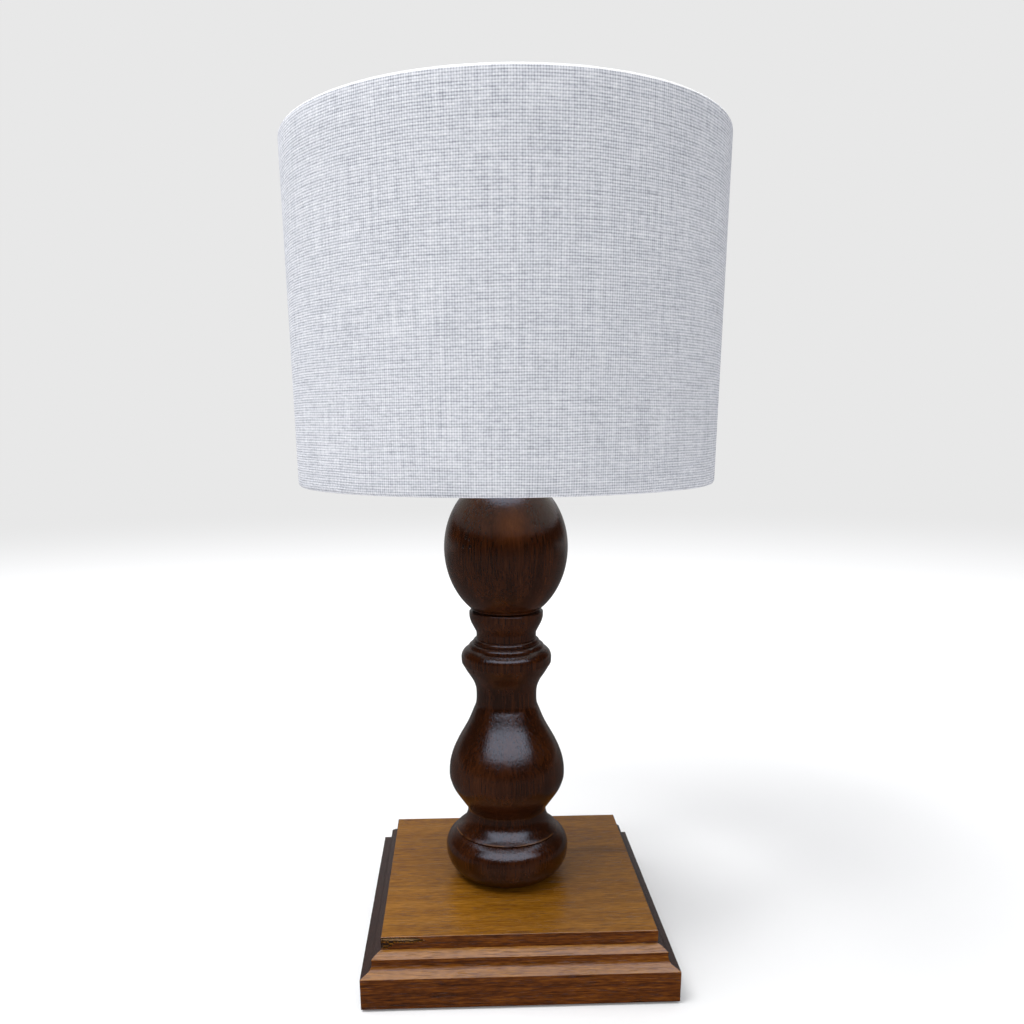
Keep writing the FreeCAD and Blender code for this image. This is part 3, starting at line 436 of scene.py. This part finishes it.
# where each part of the moulding ends: in from the side, and up from the brow of the face
LEDGE, COVE, SHOULDER = [(a * MM, b * MM) for a, b in ((6.3, 2.9), (8.1, 11.0), (14.8, 15.2))]
COVE_SAG, SHOULDER_BOW = 0.9 * MM, 0.6 * MM
CURVE_STEPS = 8
ROUND_STEPS = 4
SHARP = math.radians(28)                     # edges that turn more than this stay crisp
SPLIT_STEP = 0.4 * MM                        # the mesh where the split is
SPLIT_LEFT = PLINTH_LOW.x + SHOULDER[0]      # left end of the top board
SPLIT_LEN = 34 * MM
SPLIT_KEEPS = (0.3 * MM, 0.2 * MM)           # whole wood at its left end and at the board's foot
TOP_EDGE = 0.9 * MM                          # the rounding at the top sinks with the split
FORWARD = -0.3                               # a normal that faces the front
BOARD_FRONT = PLINTH_LOW.y + SHOULDER[0]
CRACK_HALF = 0.6                             # half width of a crack, in mm


def bowed(first, last, bow, steps=CURVE_STEPS):
    """Points from one to the other on a shallow curve that bows outwards."""
    a, b = Vector(first), Vector(last)
    out = Vector((a.y - b.y, b.x - a.x)).normalized() * bow
    return [a.lerp(b, k / steps) + out * (4 * k * (steps - k) / steps ** 2)
            for k in range(steps + 1)]


def rounded(before, corner, after, steps=ROUND_STEPS):
    """Points round a corner, from one tangent point to the other."""
    a, b, c = Vector(before), Vector(corner), Vector(after)
    shares = [k / steps for k in range(steps + 1)]
    return [a.lerp(b, t).lerp(b.lerp(c, t), t) for t in shares]


def moulding(face_top):
    """The moulded edge as (inset from the side, height), from the square face to the top."""
    slope = math.atan2(LEDGE[0], LEDGE[1])
    easing = ARRIS * math.tan(slope / 2)
    brow = face_top + easing
    ledge, cove, shoulder = [(a, brow + b) for a, b in (LEDGE, COVE, SHOULDER)]
    eased = (easing * math.sin(slope), brow + easing * math.cos(slope))
    inner = shoulder[0]
    return (rounded((0, face_top), (0, brow), eased) + bowed(ledge, cove, -COVE_SAG)
            + bowed(cove, shoulder, SHOULDER_BOW)[1:]
            + rounded((inner, SEAT_Z - ARRIS), (inner, SEAT_Z), (inner + ARRIS, SEAT_Z)))


def wander(along, seed, size):
    """A crack's wandering: coarse and fine noise along the board."""
    coarse = noise.noise((along * 260, seed, 0))
    return (coarse + 0.6 * noise.noise((along * 900, seed, 5))) * size


def split_at(co):
    """How deep the split is at a point of the board's edge, how dark and how bare. It is
    worked out in millimetres, along from the board's left end and down from its top."""
    along = (co.x - SPLIT_LEFT) / MM
    down = (SEAT_Z - co.z) / MM
    middle = 2.5 + 0.02 * along + wander(co.x, 1.0, 0.5)
    bulge = 1 - ((along - 13.5) / 16.5) ** 2
    half = 1.35 * math.sqrt(max(bulge, 0.0)) + wander(co.x, 2.0, 0.35)
    depth = dark = bare = 0.0
    if abs(down - middle) < half:
        bare = 1.0
        depth = 0.35 + 0.6 * abs(noise.noise((co.x * 500, down * 1.5, 2.0)))
    cracks = [(middle - half, 0.3, 29.0), (middle + half, 0.3, 31.0),
              (5.4 + wander(co.x, 3.0, 0.6), 0.3, 10.0 + 2 * noise.noise((down, 1, 1))),
              (6.9 + wander(co.x, 4.0, 0.5), 0.3, 7.6), (8.5 + wander(co.x, 5.0, 0.5), 0.3, 5.0)]
    for height, start, end in cracks:
        near = abs(down - height)
        if start < along < end and near < CRACK_HALF:
            depth = max(depth, 1.4)
            dark = max(dark, 1.0 - near / 1.1)
    if along < 1.6 and 4.6 < down < 9.2:
        depth = max(depth, 0.8 + 0.6 * noise.noise((co.x * 900, down * 2, 9.0)))
        dark = max(dark, 0.6)
    return depth * MM, dark, bare


def make_plinth():
    """The CAD block with a clean moulding, and the split at the left of its top board."""
    bm = bmesh.new()
    bm.from_mesh(nodes["base_plinth"].data)
    bmesh.ops.remove_doubles(bm, verts=bm.verts, dist=MEETS)
    side = (PLINTH_HIGH.x - PLINTH_LOW.x) / 2
    centre_x = PLINTH_LOW.x + side
    face_top = max(v.co.z for v in bm.verts if abs(v.co.y - PLINTH_LOW.y) < MEETS)
    inner = side - SHOULDER[0] - ARRIS
    moulded_faces = []
    for face in bm.faces:
        middle = face.calc_center_median()
        out = max(abs(middle.x - centre_x), abs(middle.y))
        if out > inner + 10 * MEETS and middle.z > face_top + 10 * MEETS:
            moulded_faces.append(face)
    bmesh.ops.delete(bm, geom=moulded_faces, context="FACES")
    outline = moulding(face_top)
    board_foot = outline[-ROUND_STEPS - 2][1]
    ring = bmesh.ops.create_circle(bm, cap_ends=False, radius=side, segments=4,
                                   matrix=Matrix.Rotation(math.pi / 4, 4, "Z"))["verts"]
    edges = list({edge for vert in ring for edge in vert.link_edges})
    for step, (inset, height) in enumerate(outline):
        if step:
            grown = bmesh.ops.extrude_edge_only(bm, edges=edges)["geom"]
            ring = [part for part in grown if isinstance(part, bmesh.types.BMVert)]
            edges = [part for part in grown if isinstance(part, bmesh.types.BMEdge)]
        for vert in ring:
            right = math.copysign(side - inset, vert.co.x - (centre_x if step else 0))
            vert.co = (centre_x + right, math.copysign(side - inset, vert.co.y), height)
    tidied(bm)

    def edge_faces():
        """The front of the top board, as far along as the split goes."""
        found = []
        for face in bm.faces:
            middle = face.calc_center_median()
            if (face.normal.y < FORWARD and middle.y > BOARD_FRONT - 0.1 * MM
                    and middle.z > board_foot and middle.y < 0
                    and middle.x < SPLIT_LEFT + SPLIT_LEN):
                found.append(face)
        return found

    bm.normal_update()
    front = [f for f in bm.faces
             if f.normal.y < FORWARD and f.calc_center_median().z > board_foot
             and f.calc_center_median().y < BOARD_FRONT + ARRIS]
    cut(bm, front, (SPLIT_LEFT + SPLIT_LEN, 0, 0), (1, 0, 0))
    for k in range(1, round(SPLIT_LEN / SPLIT_STEP)):
        cut(bm, edge_faces(), (SPLIT_LEFT + k * SPLIT_STEP, 0, 0), (1, 0, 0))
    for k in range(1, int((SEAT_Z - board_foot) / SPLIT_STEP)):
        cut(bm, edge_faces(), (0, 0, SEAT_Z - k * SPLIT_STEP), (0, 0, 1))
    split = bm.verts.layers.float.new("split")
    bare = bm.verts.layers.float.new("bare")
    for vert in {v for face in edge_faces() for v in face.verts}:
        if (vert.co.z > board_foot + SPLIT_KEEPS[1]
                and vert.co.x > SPLIT_LEFT + SPLIT_KEEPS[0]):
            depth, vert[split], vert[bare] = split_at(vert.co)
            vert.co.y += depth
            if SEAT_Z - vert.co.z < TOP_EDGE:
                vert.co.z -= depth * 0.5
    bmesh.ops.remove_doubles(bm, verts=bm.verts, dist=2 * MEETS)
    bm.normal_update()
    for edge in bm.edges:
        mitre = all(abs(abs(v.co.x - centre_x) - abs(v.co.y)) < MEETS for v in edge.verts)
        edge.smooth = edge.calc_face_angle(0) < SHARP and not mitre
    piece = new_piece("plinth_block", bm, "plinth_wood", "lamp")
    for polygon in piece.data.polygons:
        polygon.use_smooth = max(abs(part) for part in polygon.normal) < 0.9999
    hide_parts("base_plinth")


# ---------------------------------------------------------------- the shade's cloth
CLOTH_T = 0.6 * MM
LINER_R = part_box("shade_lining")[1].x
LINER_T = 0.6 * MM
LINER_GAP = 0.3 * MM                         # between lining and cloth
WIRE_R = 1.6 * MM
WIRE_GAP = 0.6 * MM                          # between wire and cloth
HEM_R = WIRE_R + WIRE_GAP + CLOTH_T / 2      # the cloth's middle, round the wire
HEM_TURN = math.radians(232)
HEM_TAIL = 5 * MM
HEM_STEPS = 10
CLOTH_STEPS = 288
CLOTH_ROWS = 12
SEAM_HALF = math.radians(2.4)                # the glued lap at the back
SEAM_EDGE = math.radians(0.12)               # its step down to the wall
SEAM_RISE = 0.45 * MM
ARM_ANGLES = [math.radians(a) for a in (90, 210, 330)]
NOTCH_DEPTH = 20 * MM                        # the hem is open to here for the spider's arms


def hem_points(upward, wall_r, wire_z):
    """The cloth's middle from the wall over the wire to the inside of the lining."""
    centre_r = wall_r - HEM_R
    inside_r = LINER_R - LINER_T - LINER_GAP - CLOTH_T / 2
    turns = [HEM_TURN * k / HEM_STEPS for k in range(HEM_STEPS + 1)]
    points = [Vector((centre_r + HEM_R * math.cos(a), 0, wire_z + upward * HEM_R * math.sin(a)))
              for a in turns]
    points.append(Vector((inside_r, 0, wire_z - upward * 2 * HEM_R)))
    points.append(Vector((inside_r, 0, wire_z - upward * (2 * HEM_R + HEM_TAIL))))
    return points


def make_cloth():
    """The wall, both hems and the lap at the back, from one spun outline."""
    wall_r = SHADE_R - SEAM_RISE - CLOTH_T / 2
    top_wire_z = SHADE_HIGH.z - HEM_R - CLOTH_T / 2
    bottom_wire_z = SHADE_LOW.z + HEM_R + CLOTH_T / 2
    top = hem_points(1, wall_r, top_wire_z)
    bottom = hem_points(-1, wall_r, bottom_wire_z)
    wall = [Vector((wall_r, 0, bottom_wire_z + (top_wire_z - bottom_wire_z) * k / CLOTH_ROWS))
            for k in range(1, CLOTH_ROWS)]
    bm = bmesh.new()
    spun(bm, chain(bm, bottom[::-1] + wall + top), CLOTH_STEPS)
    tidied(bm)
    step = 2 * math.pi / CLOTH_STEPS
    for arm in ARM_ANGLES:
        gone = []
        for face in bm.faces:
            middle = face.calc_center_median()
            turn = (math.atan2(middle.y, middle.x) - arm + math.pi) % (2 * math.pi) - math.pi
            inside = Vector(middle.xy).length < wall_r - HEM_R
            if abs(turn) < step and inside and middle.z > SHADE_HIGH.z - NOTCH_DEPTH:
                gone.append(face)
        bmesh.ops.delete(bm, geom=gone, context="FACES")
    for side in (-1, 1):
        for width in (SEAM_HALF, SEAM_HALF + SEAM_EDGE):
            a = math.pi / 2 + side * width
            back = [f for f in bm.faces if f.calc_center_median().y > wall_r * 0.98]
            cut(bm, back, (0, 0, 0), (-math.sin(a), math.cos(a), 0))
    for vert in bm.verts:
        turn = abs(math.atan2(vert.co.y, vert.co.x) - math.pi / 2)
        radius = Vector(vert.co.xy).length
        if turn < SEAM_HALF + 1e-4 and radius > wall_r - HEM_R:
            vert.co.xy *= (radius + SEAM_RISE) / radius
    bmesh.ops.recalc_face_normals(bm, faces=bm.faces)
    cloth = new_piece("shade_cloth", bm, "linen", "shade")
    wall_thickness = cloth.modifiers.new("thickness", "SOLIDIFY")
    wall_thickness.thickness = CLOTH_T
    wall_thickness.offset = 0.0
    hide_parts("shade_fabric")


FELT_CORNER_R = 4 * MM
FELT_RIM_R = 0.4 * MM


def make_felt():
    """The felt square with rounded corners and softened rims."""
    bm = bmesh.new()
    bmesh.ops.create_cube(bm, size=1.0)
    size = FELT_HIGH - FELT_LOW
    bmesh.ops.scale(bm, vec=size, verts=bm.verts)
    upright = [e for e in bm.edges if abs(e.verts[0].co.z - e.verts[1].co.z) > size.z / 2]
    bmesh.ops.bevel(bm, geom=upright, offset=FELT_CORNER_R, offset_type="OFFSET", segments=6,
                    profile=0.5, affect="EDGES", material=-1)
    rims = [e for e in bm.edges if abs(e.verts[0].co.z - e.verts[1].co.z) < MEETS
            and len(e.link_faces) == 2 and e.calc_face_angle() > 1.0]
    bmesh.ops.bevel(bm, geom=rims, offset=FELT_RIM_R, offset_type="OFFSET", segments=2,
                    profile=0.5, affect="EDGES", material=-1)
    bmesh.ops.translate(bm, vec=(FELT_HIGH + FELT_LOW) / 2, verts=bm.verts)
    piece = new_piece("felt_sheet", bm, "felt", "lamp", smooth=False)
    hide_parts("felt_pad")


make_plinth()
make_cloth()
make_felt()

# ---------------------------------------------------------------- stage, light and camera
CAMERA_PLACE = Vector((-0.03351, -0.69063, 0.41447))
CAMERA_PITCH = 0.2601
CAMERA_HEADING = 0.0287
CAMERA_ROLL = -0.0091
PHOTO_PX = 1024
FOCAL_PX = 905.8
PRINCIPAL_PX = (489.0, 662.6)
SENSOR = 36.0
BACKDROP = srgb(232, 232, 232)
GLOSS_SHARE = 0.45      # how strongly gloss and glass show the pale background
FLOOR_R = 30.0
FLOOR_PALE = (0.84, 0.84, 0.84)
FLOOR_FADES = (1.2, 4.0)        # the floor turns into the backdrop between these distances
FLOOR_HIDDEN = 0.88             # how much of the floor's own light gloss doesn't see
WINDOW_LIGHT = (3.5, 4.1, 5.2)  # the bright window and ceiling, seen in gloss alone
DARK_ROOM = (0.012, 0.012, 0.014)


def make_camera():
    """The photo's view: its lens, and its crop as a shift of the lens."""
    data = bpy.data.cameras.new("camera")
    camera = bpy.data.objects.new("camera", data)
    bpy.context.scene.collection.objects.link(camera)
    camera.matrix_world = (Matrix.Translation(CAMERA_PLACE)
                           @ Matrix.Rotation(-CAMERA_HEADING, 4, "Z")
                           @ Matrix.Rotation(math.pi / 2 - CAMERA_PITCH, 4, "X")
                           @ Matrix.Rotation(CAMERA_ROLL, 4, "Z"))
    data.sensor_width = SENSOR
    data.lens = FOCAL_PX * SENSOR / PHOTO_PX
    data.shift_x = 0.5 - PRINCIPAL_PX[0] / PHOTO_PX
    data.shift_y = PRINCIPAL_PX[1] / PHOTO_PX - 0.5
    bpy.context.scene.camera = camera


def seen(p):
    """1 for rays from the camera, and a share for rays off gloss and through glass."""
    camera, glossy, through = [p.node("LightPath", out=name) for name in
                               ("Is Camera Ray", "Is Glossy Ray", "Is Transmission Ray")]
    return p.math("MINIMUM", camera + (glossy + through) * GLOSS_SHARE, 1.0)


def make_floor():
    """A pale floor that turns into the backdrop's grey far behind."""
    bm = bmesh.new()
    bmesh.ops.create_circle(bm, cap_ends=True, radius=FLOOR_R, segments=96)
    mesh = bpy.data.meshes.new("floor")
    bm.to_mesh(mesh)
    bm.free()
    floor = bpy.data.objects.new("floor", mesh)
    bpy.context.scene.collection.objects.link(floor)
    p = Paint("floor")
    x, y, z = p.axes(p.place())
    away = p.math("SQRT", x * x + y * y)
    far = p.band(away, *FLOOR_FADES)
    mirrored = p.node("LightPath", out="Is Glossy Ray")
    near = (1 - far) * (1 - mirrored * FLOOR_HIDDEN)
    behind = p.band(y, 0.5, 2.0, 0.2, 1.0)
    plain = p.node("BsdfDiffuse", None, {"Color": p.tint(near, (0.0,) * 3, FLOOR_PALE)})
    beside = p.tint(p.band(away, 0.3, 1.3), (0.07,) * 3, (0.34,) * 3)
    glow = p.node("Emission", None, {"Color": p.tint(far, beside, BACKDROP),
                                     "Strength": seen(p) * (1 - mirrored * (1 - behind))})
    surface = p.node("AddShader", None, {0: plain, 1: glow})
    p.node("OutputMaterial", None, {"Surface": surface})
    floor.data.materials.append(p.material)


def make_world():
    """A soft room: brighter from the left and above, dark in front, pale behind."""
    world = bpy.data.worlds.new("studio")
    bpy.context.scene.world = world
    p = Paint("studio", world)
    x, y, z = p.axes(p.node("TexCoord", out="Generated"))
    left = p.band(x * -1, -0.5, 1.0)
    above = p.band(z, -0.1, 1.0)
    room = p.tint(left * 0.6 + above * 0.4, (0.33, 0.33, 0.34), (0.72, 0.73, 0.75))
    behind = p.band(y, 0.55, 0.95) * p.band(z, -0.3, 0.0)
    facing = p.band(y * -1 / p.math("SQRT", x * x + y * y), 0.47, 0.60)
    window = p.math("MAXIMUM", p.band(z, 0.425, 0.475) * facing, p.band(z, 0.80, 0.90))
    mirrored = p.tint(behind, DARK_ROOM, [c * GLOSS_SHARE for c in BACKDROP])
    mirrored = p.tint(window, mirrored, WINDOW_LIGHT)
    glossy = p.node("LightPath", out="Is Glossy Ray")
    through = p.node("LightPath", out="Is Transmission Ray")
    camera = p.node("LightPath", out="Is Camera Ray")
    colour = p.tint(p.math("MINIMUM", glossy + through, 1.0), room, mirrored)
    colour = p.tint(camera, colour, BACKDROP)
    p.node("OutputWorld", None, {"Surface": p.node("Background", None, {"Color": colour})})


def make_lamp(name, place, target, size, radiance):
    """A soft white lamp, its power from its brightness and size. The world's bright window
    is what gloss mirrors, so gloss doesn't see the lamps."""
    data = bpy.data.lights.new(name, "AREA")
    data.shape = "RECTANGLE"
    data.size, data.size_y = size
    data.energy = radiance * math.pi * size[0] * size[1]
    lamp = bpy.data.objects.new(name, data)
    bpy.context.scene.collection.objects.link(lamp)
    lamp.location = place
    lamp.rotation_euler = (Vector(target) - Vector(place)).to_track_quat("-Z", "Y").to_euler()
    lamp.visible_glossy = False


make_camera()
make_floor()
make_world()
make_lamp("key", (-0.98, -0.55, 2.6), (0, 0, 0.2), (1.1, 1.1), 12.1)
make_lamp("fill", (1.9, -2.4, 1.4), (0, 0, 0.3), (3.0, 1.6), 1.3)
make_lamp("ceiling", (-0.3, 0.3, 4.0), (0, 0, 0), (3.4, 3.4), 1.2)

bpy.context.scene.view_settings.view_transform = "Standard"
